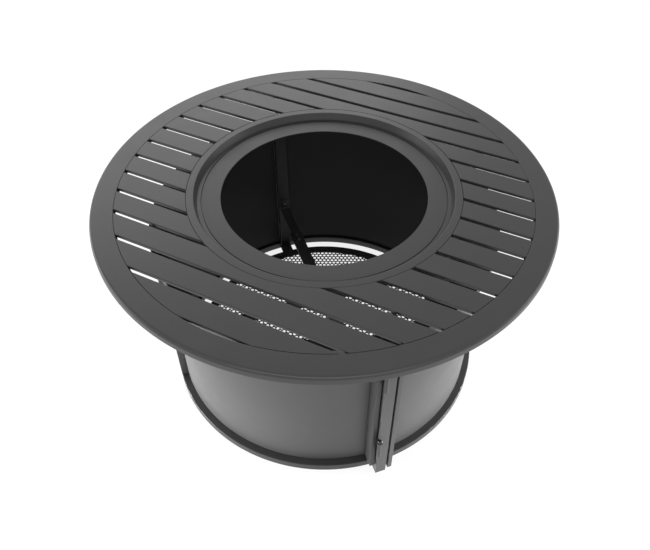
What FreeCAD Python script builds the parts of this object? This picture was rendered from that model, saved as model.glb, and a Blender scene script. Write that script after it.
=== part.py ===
"""Round slatted fire pit table on a drum base with one hinged quarter door.

Millimetres. The origin is on the floor at the table's centre, +Z points up and -Y points to the
front. A turn of a piece is counted about +Z from the front, positive to the right. A piece that
belongs to a post is drawn in that post's own frame: X points out of the table, Y along the drum.
"""
import FreeCAD, Part
import math
import os
import re

import Sketcher
from FreeCAD import Placement, Rotation, Vector

# Two lengths or places nearer than this are taken as equal
NEAR = 0.01

# The posts in their order round the drum, and the two that carry the brackets of the long bar
POST_NAMES = ("front_right", "rear_right", "rear_left", "front_left")
BRACKET_POSTS = {"brace_bracket_front": "front_right", "brace_bracket_rear": "rear_left"}

SIZES = {
    # The round top
    "table_height": 727.3,
    "top_radius": 685.8,
    "rim_height": 25.4,
    "rim_width": 67.0,
    "rim_round": 10.0,
    "rim_wall": 4.0,
    "seam_round": 1.0,
    # The slats
    "slat_width": 69.4,
    "slat_gap": 12.44,
    "slat_thickness": 10.8,
    "slat_wall": 2.0,
    "slat_round": 2.0,
    "slat_end_gap": 1.0,
    "slat_ledge_width": 5.0,
    "slat_ledge_thickness": 3.0,
    "slat_shift": -1.7,
    "slat_angle": 25.9,
    "rows_beside_middle_at_well": 4,
    # The burner well
    "well_radius": 412.3,
    "well_band": 22.5,
    "well_lean": 7.8,
    "well_depth": 22.2,
    "well_ledge": 10.5,
    "well_seat": 20.0,
    "well_wall": 3.0,
    "plate_thickness": 3.0,
    "plate_gap": 2.0,
    "plate_width": 57.6,
    # The arms that carry the slats on the drum
    "arm_width": 10.0,
    "arm_shift": 4.0,
    "arm_gap": 0.3,
    "neck_depth": 12.0,
    "neck_out": 512.0,
    "foot_out": 506.0,
    "foot_depth": 27.0,
    "foot_width": 60.0,
    "foot_thickness": 4.0,
    "foot_bolt_spacing": 44.0,
    # The drum
    "drum_drop": 87.3,
    "top_overhang": 149.3,
    "ring_width": 33.5,
    "ring_height": 25.4,
    "ring_round": 2.0,
    "panel_inset": 8.5,
    "panel_thickness": 2.5,
    "panel_gap": 0.3,
    "post_width": 44.0,
    "post_depth": 44.5,
    "post_wall": 4.0,
    # The leg that carries the door
    "leg_plate_depth": 17.5,
    "leg_plate_overhang": 9.0,
    "leg_lip_width": 14.0,
    "leg_lip_depth": 11.0,
    "leg_groove": 3.0,
    "leg_bar_width": 34.0,
    "leg_bar_depth": 13.0,
    "leg_overhang": 4.0,
    "leg_round": 1.5,
    # The door
    "door_gap": 3.0,
    "door_rail": 22.0,
    "door_frame_depth": 20.0,
    "stile_width": 14.0,
    "stile_stand": 23.5,
    "stile_lift": 9.0,
    # The door's hinges
    "barrel_radius": 7.0,
    "barrel_stand": 2.3,
    "pin_radius": 4.0,
    "pin_fit": 0.05,
    "knuckle_height": 38.0,
    "knuckle_gap": 0.3,
    "leaf_thickness": 2.8,
    "leaf_gap": 0.7,
    "leaf_reach": 30.0,
    "lower_hinge_rise": 102.1,
    "upper_hinge_drop": 124.4,
    "washer_radius": 9.0,
    "washer_height": 1.5,
    "cap_radius": 8.0,
    "cap_height": 8.0,
    "cap_round": 6.4,
    # The long bar and the cross strap inside the drum
    "brace_height": 216.0,
    "brace_depth": 12.0,
    "brace_width": 42.0,
    "brace_wall": 2.0,
    "brace_half_length": 347.0,
    "brace_lap": 77.0,
    "lap_bolt_spacing": 25.3,
    "strap_thickness": 3.0,
    "bracket_width": 33.0,
    "cross_width": 42.0,
    "strap_rise": 36.0,
    "strap_bolt_rise": 22.0,
    # The tray just above the floor
    "tray_clearance": 33.0,
    "tray_lift": 0.5,
    "tray_sheet": 2.0,
    "tray_rim_width": 33.0,
    "tray_rim_thickness": 3.0,
    "tray_hole": 13.0,
    "tray_pitch": 46.0,
    # The fasteners
    "bolt_radius": 3.0,
    "bolt_head": 5.5,
    "bolt_head_height": 4.0,
    "bolt_grip": 15.0,
    "screw_radius": 2.0,
    "screw_head": 3.5,
    "screw_head_height": 1.6,
    "screw_grip": 8.0,
    "screw_spacing": 14.0,
    # How far a cutting shape reaches past the face that it cuts
    "cut_over": 1.0,
}

DERIVED = {
    "rim_bottom": "table_height - rim_height",
    "slat_bottom": "table_height - slat_thickness",
    "slat_ledge": "slat_bottom - slat_ledge_thickness",
    "rim_inner": "top_radius - rim_width",
    "slat_pitch": "slat_width + slat_gap",
    "well_lip": "well_radius - well_band",
    "well_foot": "well_lip - well_lean",
    "ledge_top": "table_height - well_depth",
    "seat_top": "ledge_top - plate_thickness",
    "seat_edge": "well_foot - well_ledge",
    "burner_hole": "seat_edge - plate_gap - plate_width",
    "ring_outer": "top_radius - top_overhang",
    "ring_inner": "ring_outer - ring_width",
    "base_height": "slat_bottom - drum_drop",
    "upper_ring": "base_height - ring_height",
    "panel_inner": "ring_inner + panel_inset",
    "panel_radius": "panel_inner + panel_thickness",
    "half_post": "post_width / 2",
    "post_inner": "ring_outer - post_depth",
    "arm_left": "arm_shift - arm_width / 2",
    "arm_right": "arm_shift + arm_width / 2",
    "arm_inner": "well_radius + slat_ledge_width + arm_gap",
    "arm_outer": "rim_inner - slat_ledge_width - arm_gap",
    "foot_top": "base_height + foot_thickness",
    "foot_bolt_out": "foot_out + foot_depth / 2",
    "leg_plate": "ring_outer + leg_plate_depth",
    "leg_lip": "leg_plate + leg_lip_depth",
    "plate_right": "half_post + leg_plate_overhang",
    "leg_back": "leg_plate + leg_groove",
    "leg_front": "leg_back + leg_bar_depth",
    "leg_left": "-half_post - leg_overhang",
    "leg_right": "leg_left + leg_bar_width",
    "door_bottom": "ring_height + door_gap",
    "door_top": "upper_ring - door_gap",
    "frame_outer": "panel_inner - panel_gap",
    "frame_inner": "frame_outer - door_frame_depth",
    "stile_front": "ring_outer + stile_stand",
    "leaf_right": "leg_left - leaf_gap",
    "leaf_left": "leaf_right - leaf_thickness",
    "stile_left": "leaf_left - stile_width",
    "axis_side": "(leg_left + leaf_left) / 2",
    "axis_out": "leg_front + barrel_stand + barrel_radius",
    "leaf_back": "stile_front - leaf_reach",
    "low_hinge": "door_bottom + lower_hinge_rise",
    "high_hinge": "door_top - upper_hinge_drop",
    "screw_out": "leaf_back + (leaf_reach - screw_spacing) / 2",
    "brace_top": "brace_height + brace_depth",
    "bracket_end": "brace_half_length - brace_lap",
    "bracket_top": "brace_top + strap_thickness",
    "cross_bottom": "brace_height - strap_thickness",
    "tray_radius": "ring_inner - tray_clearance",
    "tray_height": "tray_lift + tray_rim_thickness",
    "tray_rim_inner": "tray_radius - tray_rim_width",
}

doc = FreeCAD.newDocument("FirePitTable")
sheet = doc.addObject("Spreadsheet::Sheet", "Sizes")
nodes = []


def fill_sheet():
    """Write every driving dimension into the sheet, with its name as the cell's alias."""
    for row, (alias, number) in enumerate(SIZES.items(), start=1):
        sheet.set("A%d" % row, alias)
        sheet.set("B%d" % row, str(number))
        sheet.setAlias("B%d" % row, alias)
    doc.recompute()


def formula(text):
    """Expression text for a property: derived names are written out, cells get their sheet."""
    def swap(match):
        word = match.group(0)
        if word in DERIVED:
            return "(" + formula(DERIVED[word]) + ")"
        if word in SIZES:
            return "Sizes." + word
        return word
    return re.sub(r"[a-z_]+", swap, text)


def value(text):
    """The number that a formula gives now."""
    return float(sheet.evalExpression(formula(text)))


def post_turn(number=0):
    """Turn of a post in degrees: halfway between the slats' direction and square to it."""
    return 45.0 - value("slat_angle") + 90.0 * number


def post_frame(number=0):
    """Placement whose X axis points out of the table at a post."""
    return Placement(Vector(0, 0, 0), Rotation(Vector(0, 0, 1), post_turn(number) - 90.0))


def new_body(name, placement=None):
    """A body that becomes the sub-part called name."""
    body = doc.addObject("PartDesign::Body", name)
    body.Label = name
    if placement is not None:
        body.Placement = placement
    nodes.append(body)
    return body


def new_shape(name, shape, placement=None):
    """A plain shape that becomes the sub-part called name."""
    feature = doc.addObject("Part::Feature", name)
    feature.Label = name
    feature.Shape = shape
    if placement is not None:
        feature.Placement = placement
    nodes.append(feature)
    return feature


def new_sketch(body, plane, lift="0"):
    """A sketch on one of the body's own planes, moved along the plane's normal by lift."""
    support = [item for item in body.Origin.OriginFeatures if item.Role == plane][0]
    sketch = body.newObject("Sketcher::SketchObject", body.Name + "_sketch")
    sketch.AttachmentSupport = (support, [""])
    sketch.MapMode = "FlatFace"
    sketch.setExpression("AttachmentOffset.Base.z", formula(lift))
    return sketch


def hold_point(sketch, edge, end, across, up):
    """Fix a point of the sketch at two formulas, measured from the sketch's origin."""
    for kind, text in (("DistanceX", across), ("DistanceY", up)):
        number = value(text)
        if number == 0:
            axis = -2 if kind == "DistanceX" else -1
            sketch.addConstraint(Sketcher.Constraint("PointOnObject", edge, end, axis))
            continue
        index = sketch.addConstraint(Sketcher.Constraint(kind, -1, 1, edge, end, number))
        sketch.setExpression("Constraints[%d]" % index, formula(text))


def add_polygon(sketch, corners):
    """Closed outline through corners, each a pair of formulas."""
    points = [Vector(value(across), value(up), 0) for across, up in corners]
    count = len(points)
    first = sketch.GeometryCount
    for index in range(count):
        sketch.addGeometry(Part.LineSegment(points[index], points[(index + 1) % count]), False)
    for index in range(count):
        follower = first + (index + 1) % count
        sketch.addConstraint(Sketcher.Constraint("Coincident", first + index, 2, follower, 1))
    for index, (across, up) in enumerate(corners):
        hold_point(sketch, first + index, 1, across, up)


def add_rectangle(sketch, left, right, low, high):
    """Rectangle between four formulas."""
    add_polygon(sketch, [(left, low), (right, low), (right, high), (left, high)])


def add_circle(sketch, across, up, radius):
    """Circle whose centre and radius are formulas."""
    centre = Vector(value(across), value(up), 0)
    circle = Part.Circle(centre, Vector(0, 0, 1), value(radius))
    edge = sketch.addGeometry(circle, False)
    hold_point(sketch, edge, 3, across, up)
    index = sketch.addConstraint(Sketcher.Constraint("Radius", edge, value(radius)))
    sketch.setExpression("Constraints[%d]" % index, formula(radius))


def pad(body, sketch, length):
    """Push the sketch out along its plane's normal."""
    feature = body.newObject("PartDesign::Pad", body.Name + "_pad")
    feature.Profile = sketch
    feature.setExpression("Length", formula(length))
    doc.recompute()
    return feature


def pocket(body, sketch, length, forward=False):
    """Cut the sketch's area out of the body, against its plane's normal unless forward."""
    before = body.Shape
    feature = body.newObject("PartDesign::Pocket", body.Name + "_pocket")
    feature.Profile = sketch
    feature.setExpression("Length", formula(length))
    feature.Reversed = forward
    doc.recompute()
    check_cut(body, before)
    return feature


def check_cut(body, before):
    """Stop if the body's last feature left its volume and its surface as they were."""
    volume_change = abs(body.Shape.Volume - before.Volume)
    area_change = abs(body.Shape.Area - before.Area)
    if volume_change < 1.0 and area_change < 1.0:
        raise ValueError("the last cut of %s cuts nothing" % body.Name)


def turned(body, corners, angle=360.0):
    """Solid turned about Z from an outline of (radius, height) formulas."""
    sketch = new_sketch(body, "XZ_Plane")
    add_polygon(sketch, corners)
    feature = body.newObject("PartDesign::Revolution", body.Name + "_turned")
    feature.Profile = sketch
    feature.ReferenceAxis = (sketch, ["V_Axis"])
    feature.Angle = angle
    doc.recompute()
    return feature


def rectangle_corners(inner, outer, low, high):
    """Corners of a rectangle for turned()."""
    return [(inner, low), (outer, low), (outer, high), (inner, high)]


def round_edges(body, radius, picks):
    """Fillet every edge that the test picks."""
    unplaced = body.Shape.transformed(body.Placement.inverse().toMatrix())
    names = [
        "Edge%d" % (index + 1)
        for index, edge in enumerate(unplaced.Edges)
        if picks(edge)
    ]
    if not names:
        raise ValueError("no edge of %s to round" % body.Name)
    base = body.Tip
    feature = body.newObject("PartDesign::Fillet", body.Name + "_round")
    feature.Base = (base, names)
    feature.setExpression("Radius", formula(radius))
    doc.recompute()
    return feature


def circle_at(radius, height):
    """Test for a whole circle of a given radius at a given height."""
    wanted_radius = value(radius)
    wanted_height = value(height)

    def picks(edge):
        curve = edge.Curve
        if curve.TypeId != "Part::GeomCircle":
            return False
        same_radius = abs(curve.Radius - wanted_radius) < NEAR
        return same_radius and abs(curve.Center.z - wanted_height) < NEAR
    return picks


def upright_at(out, sides):
    """Test for a vertical edge at a distance out and at one of some side positions."""
    wanted_out = value(out)
    wanted_sides = [value(side) for side in sides]

    def picks(edge):
        first = edge.Vertexes[0].Point
        last = edge.Vertexes[-1].Point
        if abs(first.x - last.x) + abs(first.y - last.y) > NEAR:
            return False
        at_side = min(abs(first.y - side) for side in wanted_sides) < NEAR
        return abs(first.x - wanted_out) < NEAR and at_side
    return picks


def make_rim():
    """Outer rim: a rolled channel, open below, with a soft outer edge and a ledge for the slats."""
    body = new_body("top_rim")
    under = "table_height - rim_wall"
    turned(body, [
        ("rim_inner", "slat_bottom"),
        ("rim_inner", "table_height"),
        ("top_radius", "table_height"),
        ("top_radius", "rim_bottom"),
        ("top_radius - rim_wall", "rim_bottom"),
        ("top_radius - rim_wall", under),
        ("rim_inner + rim_wall", under),
        ("rim_inner + rim_wall", "slat_ledge"),
        ("rim_inner - slat_ledge_width", "slat_ledge"),
        ("rim_inner - slat_ledge_width", "slat_bottom"),
    ])
    round_edges(body, "rim_round", circle_at("top_radius", "table_height"))
    round_edges(body, "rim_round - rim_wall", circle_at("top_radius - rim_wall", under))
    round_edges(body, "seam_round", circle_at("rim_inner", "table_height"))


def make_well_ring():
    """Ring round the burner well: slat ledge, flat band, leaning wall and a seat for the plate."""
    body = new_body("well_ring")
    seat_bottom = "seat_top - well_wall"
    turned(body, [
        ("well_radius + slat_ledge_width", "slat_ledge"),
        ("well_radius + slat_ledge_width", "slat_bottom"),
        ("well_radius", "slat_bottom"),
        ("well_radius", "table_height"),
        ("well_lip", "table_height"),
        ("well_foot", "ledge_top"),
        ("seat_edge", "ledge_top"),
        ("seat_edge", "seat_top"),
        ("seat_edge - well_seat", "seat_top"),
        ("seat_edge - well_seat", seat_bottom),
        ("well_foot + well_wall", seat_bottom),
        ("well_lip + well_wall", "table_height - well_wall"),
        ("well_radius - well_wall", "table_height - well_wall"),
        ("well_radius - well_wall", "slat_ledge"),
    ])
    round_edges(body, "seam_round", circle_at("well_radius", "table_height"))
    round_edges(body, "seam_round", circle_at("well_lip", "table_height"))


def make_burner_plate():
    """Flat plate in the well, with the open round hole for a burner."""
    body = new_body("burner_plate")
    turned(body, rectangle_corners("burner_hole", "seat_edge - plate_gap", "seat_top", "ledge_top"))
    round_edges(body, "seam_round", circle_at("burner_hole", "ledge_top"))


def make_slat(name, centre, start, end):
    """One slat tube from start to end along the slats, cut just short of the rim and the well ring."""
    half = value("slat_width") / 2
    turn = Placement(Vector(0, 0, 0), Rotation(Vector(0, 0, 1), -value("slat_angle")))
    place = Vector(start, centre - half, value("slat_bottom"))

    blank = doc.addObject("Part::Box", name + "_blank")
    blank.Length = end - start
    blank.setExpression("Width", formula("slat_width"))
    blank.setExpression("Height", formula("slat_thickness"))
    blank.Placement = turn.multiply(Placement(place, Rotation()))
    doc.recompute()

    rounded = doc.addObject("Part::Fillet", name + "_rounded")
    rounded.Base = blank
    radius = value("slat_round")
    long_edges = [
        index + 1
        for index, edge in enumerate(blank.Shape.Edges)
        if abs(edge.Length - (end - start)) < NEAR
    ]
    rounded.Edges = [(index, radius, radius) for index in long_edges]

    hollow = doc.addObject("Part::Box", name + "_hollow")
    wall = value("slat_wall")
    hollow.Length = end - start
    hollow.setExpression("Width", formula("slat_width - 2 * slat_wall"))
    hollow.setExpression("Height", formula("slat_thickness - 2 * slat_wall"))
    hollow.Placement = turn.multiply(Placement(place + Vector(0, wall, wall), Rotation()))

    tube = doc.addObject("Part::Cut", name + "_tube")
    tube.Base = rounded
    tube.Tool = hollow

    within_rim = doc.addObject("Part::Common", name + "_in_rim")
    within_rim.Base = tube
    within_rim.Tool = doc.getObject("rim_bore")

    clear_of_well = doc.addObject("Part::Cut", name)
    clear_of_well.Label = name
    clear_of_well.Base = within_rim
    clear_of_well.Tool = doc.getObject("well_outside")
    doc.recompute()
    nodes.append(clear_of_well)


def row_name(row):
    """Name of a row of slats, counted from the middle one."""
    if row == 0:
        return "slat_middle"
    return "slat_%s_%d" % ("rear" if row > 0 else "front", abs(row))


def make_slats():
    """Parallel slats, a row wherever its centre line crosses the rim's opening.

    A row that the well interrupts has a left and a right piece.
    """
    ends = (("rim_bore", "rim_inner - slat_end_gap"), ("well_outside", "well_radius + slat_end_gap"))
    for name, radius in ends:
        tool = doc.addObject("Part::Cylinder", name)
        tool.setExpression("Radius", formula(radius))
        tool.setExpression("Height", formula("slat_thickness + 2 * cut_over"))
        tool.setExpression("Placement.Base.z", formula("slat_bottom - cut_over"))
    doc.recompute()

    reach = value("top_radius")
    limit = value("rim_inner")
    most = int(limit / value("slat_pitch")) + 1
    for row in range(-most, most + 1):
        centre = value("slat_shift") + row * value("slat_pitch")
        if abs(centre) >= limit:
            continue
        name = row_name(row)
        if abs(row) <= value("rows_beside_middle_at_well"):
            make_slat(name + "_left", centre, -reach, 0.0)
            make_slat(name + "_right", centre, 0.0, reach)
        else:
            make_slat(name, centre, -reach, reach)


def make_support_arms():
    """An arm at each post: a strip under the slats, a neck and a foot bolted to the upper ring."""
    for number, side in enumerate(POST_NAMES):
        arm = new_body("support_arm_" + side, post_frame(number))
        strip = new_sketch(arm, "XY_Plane", "slat_ledge")
        add_rectangle(strip, "arm_inner", "arm_outer", "arm_left", "arm_right")
        pad(arm, strip, "slat_ledge_thickness")
        neck = new_sketch(arm, "XY_Plane", "foot_top")
        add_rectangle(neck, "neck_out", "neck_out + neck_depth", "arm_left", "arm_right")
        pad(arm, neck, "slat_ledge - foot_top")
        foot = new_sketch(arm, "XY_Plane", "base_height")
        add_rectangle(foot, "foot_out", "foot_out + foot_depth", "-foot_width / 2", "foot_width / 2")
        pad(arm, foot, "foot_thickness")
        holes = new_sketch(arm, "XY_Plane", "base_height")
        add_foot_circles(holes)
        pocket(arm, holes, "foot_thickness", forward=True)


def add_foot_circles(sketch):
    """The two bolt circles of an arm's foot."""
    for side in ("foot_bolt_spacing / 2", "-foot_bolt_spacing / 2"):
        add_circle(sketch, "foot_bolt_out", side, "bolt_radius")


def make_drum_rings():
    """The ring that stands on the floor and the ring at the top of the drum."""
    rings = {}
    for name, low in (("base_ring_lower", "0"), ("base_ring_upper", "upper_ring")):
        body = new_body(name, post_frame())
        high = low + " + ring_height"
        turned(body, rectangle_corners("ring_inner", "ring_outer", low, high))
        round_edges(body, "ring_round", circle_at("ring_outer", high))
        rings[name] = body

    upper = rings["base_ring_upper"]
    sketch = new_sketch(upper, "XY_Plane", "base_height")
    add_foot_circles(sketch)
    holes = pocket(upper, sketch, "bolt_grip")
    pattern = upper.newObject("PartDesign::PolarPattern", "base_ring_upper_holes")
    pattern.Originals = [holes]
    pattern.Axis = ([item for item in upper.Origin.OriginFeatures if item.Role == "Z_Axis"][0], [""])
    pattern.Angle = 360
    pattern.Occurrences = len(POST_NAMES)
    upper.Tip = pattern
    doc.recompute()


def make_post(name, number, bolt_level):
    """Post between the drum's rings: a tube, closed at its top, with a hole for a strap's bolt."""
    body = new_body(name, post_frame(number))
    tube = new_sketch(body, "XY_Plane", "ring_height")
    add_rectangle(tube, "post_inner", "ring_outer", "-half_post", "half_post")
    pad(body, tube, "upper_ring - ring_height")
    round_edges(body, "leg_round", upright_at("ring_outer", ["-half_post", "half_post"]))

    core = new_sketch(body, "XY_Plane", "ring_height")
    add_rectangle(
        core, "post_inner + post_wall", "ring_outer - post_wall",
        "-half_post + post_wall", "half_post - post_wall",
    )
    pocket(body, core, "upper_ring - ring_height - post_wall", forward=True)

    hole = new_sketch(body, "YZ_Plane", "post_inner")
    add_circle(hole, "0", bolt_level, "bolt_radius")
    pocket(body, hole, "post_wall", forward=True)


def strap_bolt_level(post):
    """Formula of the height of the bolt that holds a strap's upturned end to a post."""
    if post in BRACKET_POSTS.values():
        return "bracket_top + strap_bolt_rise"
    return "brace_height + strap_bolt_rise"


def make_posts():
    """Four posts a quarter turn apart."""
    for number, name in enumerate(POST_NAMES):
        make_post("post_" + name, number, strap_bolt_level(name))


def make_hinge_leg():
    """A plate with a raised lip and a bar in front of it, joined by spacers at the drum's rings."""
    plate = new_body("hinge_leg_plate", post_frame())
    sketch = new_sketch(plate, "XY_Plane")
    add_polygon(sketch, [
        ("ring_outer", "-half_post"), ("leg_plate", "-half_post"),
        ("leg_plate", "plate_right - leg_lip_width"), ("leg_lip", "plate_right - leg_lip_width"),
        ("leg_lip", "plate_right"), ("ring_outer", "plate_right"),
    ])
    pad(plate, sketch, "base_height")
    round_edges(plate, "leg_round", upright_at("leg_plate", ["-half_post"]))
    lip_sides = ["plate_right - leg_lip_width", "plate_right"]
    round_edges(plate, "leg_round", upright_at("leg_lip", lip_sides))

    bar = new_body("hinge_leg_bar", post_frame())
    sketch = new_sketch(bar, "XY_Plane")
    add_rectangle(sketch, "leg_back", "leg_front", "leg_left", "leg_right")
    pad(bar, sketch, "base_height")
    round_edges(bar, "leg_round", upright_at("leg_front", ["leg_left", "leg_right"]))
    for level in ("0", "upper_ring"):
        spacer = new_sketch(bar, "XY_Plane", level)
        add_polygon(spacer, [
            ("ring_outer", "leg_left"), ("ring_outer", "-half_post"), ("leg_plate", "-half_post"),
            ("leg_plate", "leg_right"), ("leg_back", "leg_right"), ("leg_back", "leg_left"),
        ])
        pad(bar, spacer, "ring_height")


def side_angle(side):
    """Angle in degrees that a sideways distance takes up at the panels' inner face."""
    return math.degrees(math.asin(value(side) / value("panel_inner")))


def make_curved(name, start, end, corners):
    """A piece of the drum's wall between two turns counted from the front."""
    placement = Placement(Vector(0, 0, 0), Rotation(Vector(0, 0, 1), start - 90.0))
    body = new_body(name, placement)
    turned(body, corners, end - start)
    return body


def make_fixed_panels():
    """Curved sheets that close the other three quarters of the drum."""
    names = ("panel_right", "panel_rear", "panel_left")
    margin = side_angle("half_post + panel_gap")
    corners = rectangle_corners("panel_inner", "panel_radius", "ring_height", "upper_ring")
    for number, name in enumerate(names):
        make_curved(name, post_turn(number) + margin, post_turn(number + 1) - margin, corners)


def make_door():
    """Quarter door: curved sheet, a curved frame behind it and a stile at the hinges."""
    hinge_end = post_turn() - side_angle("-leaf_left")
    latch_end = post_turn(-1) + side_angle("half_post + door_gap")
    sheet_corners = rectangle_corners("panel_inner", "panel_radius", "door_bottom", "door_top")
    make_curved("door_panel", latch_end, hinge_end, sheet_corners)

    frame_corners = rectangle_corners("frame_inner", "frame_outer", "door_bottom", "door_top")
    frame = make_curved("door_frame", latch_end, hinge_end, frame_corners)
    window = new_sketch(frame, "XZ_Plane")
    add_polygon(window, rectangle_corners(
        "frame_inner - cut_over", "frame_outer + cut_over",
        "door_bottom + door_rail", "door_top - door_rail"))
    before = frame.Shape
    margin = math.degrees(value("door_rail / frame_outer"))
    groove = frame.newObject("PartDesign::Groove", "door_frame_window")
    groove.Profile = window
    groove.ReferenceAxis = (window, ["V_Axis"])
    groove.Angle = hinge_end - latch_end - 2 * margin
    turn = Rotation(Vector(0, 1, 0), margin)
    window.AttachmentOffset = Placement(Vector(0, 0, 0), turn)
    doc.recompute()
    check_cut(frame, before)

    stile = new_body("door_stile", post_frame())
    foot = "door_bottom + stile_lift"
    sketch = new_sketch(stile, "XY_Plane", foot)
    add_rectangle(sketch, "panel_inner", "stile_front", "stile_left", "leaf_left")
    pad(stile, sketch, "door_top - door_bottom - stile_lift")
    round_edges(stile, "leg_round", upright_at("stile_front", ["stile_left", "leaf_left"]))
    inside = new_sketch(stile, "XY_Plane", foot)
    add_circle(inside, "0", "0", "panel_radius")
    pocket(stile, inside, "door_top - door_bottom - stile_lift", forward=True)
    drill_for_screws(stile, "stile_left", "leaf_left")


def screw_places():
    """Formulas of distance out and height of the screws that hold the two hinge leaves."""
    places = []
    for level in ("low_hinge", "high_hinge"):
        height = level + " + 1.5 * knuckle_height + knuckle_gap"
        places.append(("screw_out", height))
        places.append(("screw_out + screw_spacing", height))
    return places


def drill_for_screws(body, left, right, places=None):
    """Blind or through holes for the leaf screws, from the right-hand side."""
    sketch = new_sketch(body, "XZ_Plane", "-(%s)" % right)
    for out, height in places or screw_places():
        add_circle(sketch, out, height, "screw_radius")
    depth = "screw_grip" if value("screw_grip") < value(right) - value(left) else right + " - " + left
    pocket(body, sketch, depth, forward=True)


def make_hinge(name, level, places):
    """Lower knuckle on the leg, upper knuckle with its leaf on the door."""
    fixed = new_body("hinge_knuckle_" + name, post_frame())
    barrel = new_sketch(fixed, "XY_Plane", level)
    add_circle(barrel, "axis_out", "axis_side", "barrel_radius")
    pad(fixed, barrel, "knuckle_height")
    foot = new_sketch(fixed, "XY_Plane", level)
    add_rectangle(foot, "leg_front", "axis_out", "leg_left + leg_round", "axis_side + barrel_radius")
    pad(fixed, foot, "knuckle_height")
    bore = new_sketch(fixed, "XY_Plane", level)
    add_circle(bore, "axis_out", "axis_side", "pin_radius")
    pocket(fixed, bore, "knuckle_height", forward=True)

    top = level + " + knuckle_height + knuckle_gap"
    leaf = new_body("hinge_leaf_" + name, post_frame())
    plate = new_sketch(leaf, "XY_Plane", top)
    add_rectangle(plate, "leaf_back", "axis_out", "leaf_left", "leaf_right")
    pad(leaf, plate, "knuckle_height")
    barrel = new_sketch(leaf, "XY_Plane", top)
    add_circle(barrel, "axis_out", "axis_side", "barrel_radius")
    pad(leaf, barrel, "knuckle_height")
    bore = new_sketch(leaf, "XY_Plane", top)
    add_circle(bore, "axis_out", "axis_side", "pin_radius + pin_fit")
    pocket(leaf, bore, "knuckle_height", forward=True)
    drill_for_screws(leaf, "leaf_left", "leaf_right", places)


def pin_shape(level):
    """Hinge pin with its washer and domed cap, standing in the lower knuckle."""
    base = Vector(value("axis_out"), value("axis_side"), value(level))
    shank_length = value("2 * knuckle_height + 2 * knuckle_gap")
    shank = Part.makeCylinder(value("pin_radius"), shank_length, base)
    washer_base = base + Vector(0, 0, shank_length)
    washer = Part.makeCylinder(value("washer_radius"), value("washer_height"), washer_base)
    cap_base = washer_base + Vector(0, 0, value("washer_height"))
    cap = Part.makeCylinder(value("cap_radius"), value("cap_height"), cap_base)
    top = cap_base.z + value("cap_height")
    rim = [edge for edge in cap.Edges if abs(edge.CenterOfMass.z - top) < NEAR and edge.Closed]
    cap = cap.makeFillet(value("cap_round"), rim[:1])
    return shank.fuse([washer, cap]).removeSplitter()


def hex_head(radius, height, base, direction):
    """Hexagonal head of a bolt: radius is to its corners."""
    flat = Part.makePolygon([
        Vector(radius * math.cos(math.radians(60 * step)), radius * math.sin(math.radians(60 * step)), 0)
        for step in range(7)
    ])
    head = Part.Face(flat).extrude(Vector(0, 0, height))
    head.Placement = Placement(base, Rotation(Vector(0, 0, 1), direction))
    return head


def bolt_shape(under_head, direction, length, nut_at=None):
    """Hex bolt whose head stands on under_head and whose shank runs along direction."""
    back = direction * -1
    head = hex_head(value("bolt_head"), value("bolt_head_height"), under_head, back)
    pieces = [Part.makeCylinder(value("bolt_radius"), length, under_head, direction)]
    if nut_at is not None:
        nut_place = under_head + direction * nut_at
        pieces.append(hex_head(value("bolt_head"), value("bolt_head_height"), nut_place, direction))
    return head.fuse(pieces).removeSplitter()


def screw_shape(under_head, direction, length):
    """Round-headed screw."""
    back = direction * -1
    head = Part.makeCylinder(value("screw_head"), value("screw_head_height"), under_head, back)
    shank = Part.makeCylinder(value("screw_radius"), length, under_head, direction)
    return head.fuse(shank).removeSplitter()


def make_hinges():
    """Both hinges, their pins and the screws of their leaves."""
    places = screw_places()
    make_hinge("lower", "low_hinge", places[:2])
    make_hinge("upper", "high_hinge", places[2:])
    pins = [pin_shape(level) for level in ("low_hinge", "high_hinge")]
    new_shape("hinge_pins", Part.makeCompound(pins), post_frame())

    length = value("leaf_thickness + screw_grip")
    screws = [
        screw_shape(Vector(value(out), value("leaf_right"), value(height)), Vector(0, -1, 0), length)
        for out, height in places
    ]
    new_shape("hinge_screws", Part.makeCompound(screws), post_frame())


def make_support_bolts():
    """Bolts through the feet of the support arms into the upper ring."""
    bolts = []
    reach = value("foot_thickness + bolt_grip")
    for number in range(len(POST_NAMES)):
        for side in (-0.5, 0.5):
            start = Vector(value("foot_bolt_out"), side * value("foot_bolt_spacing"), value("foot_top"))
            bolt = bolt_shape(start, Vector(0, 0, -1), reach)
            bolt.Placement = post_frame(number).multiply(bolt.Placement)
            bolts.append(bolt)
    new_shape("support_bolts", Part.makeCompound(bolts))


def lap_places():
    """Distances from the centre of the two bolts in each lap of the long bar."""
    first = "bracket_end + (brace_lap - lap_bolt_spacing) / 2"
    return [first, first + " + lap_bolt_spacing"]


def add_upturned_end(body, low, half_width, outward=1):
    """Turn a strap's end up against its post, with the hole for its bolt."""
    back, front = "post_inner - strap_thickness", "post_inner"
    if outward < 0:
        back, front = "-post_inner", "-post_inner + strap_thickness"
    upright = new_sketch(body, "XY_Plane", low + " + strap_thickness")
    add_rectangle(upright, back, front, "-" + half_width, half_width)
    pad(body, upright, "strap_rise")
    hole = new_sketch(body, "YZ_Plane", back)
    add_circle(hole, "0", low + " + strap_thickness + strap_bolt_rise", "bolt_radius")
    pocket(body, hole, "strap_thickness", forward=True)


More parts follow.
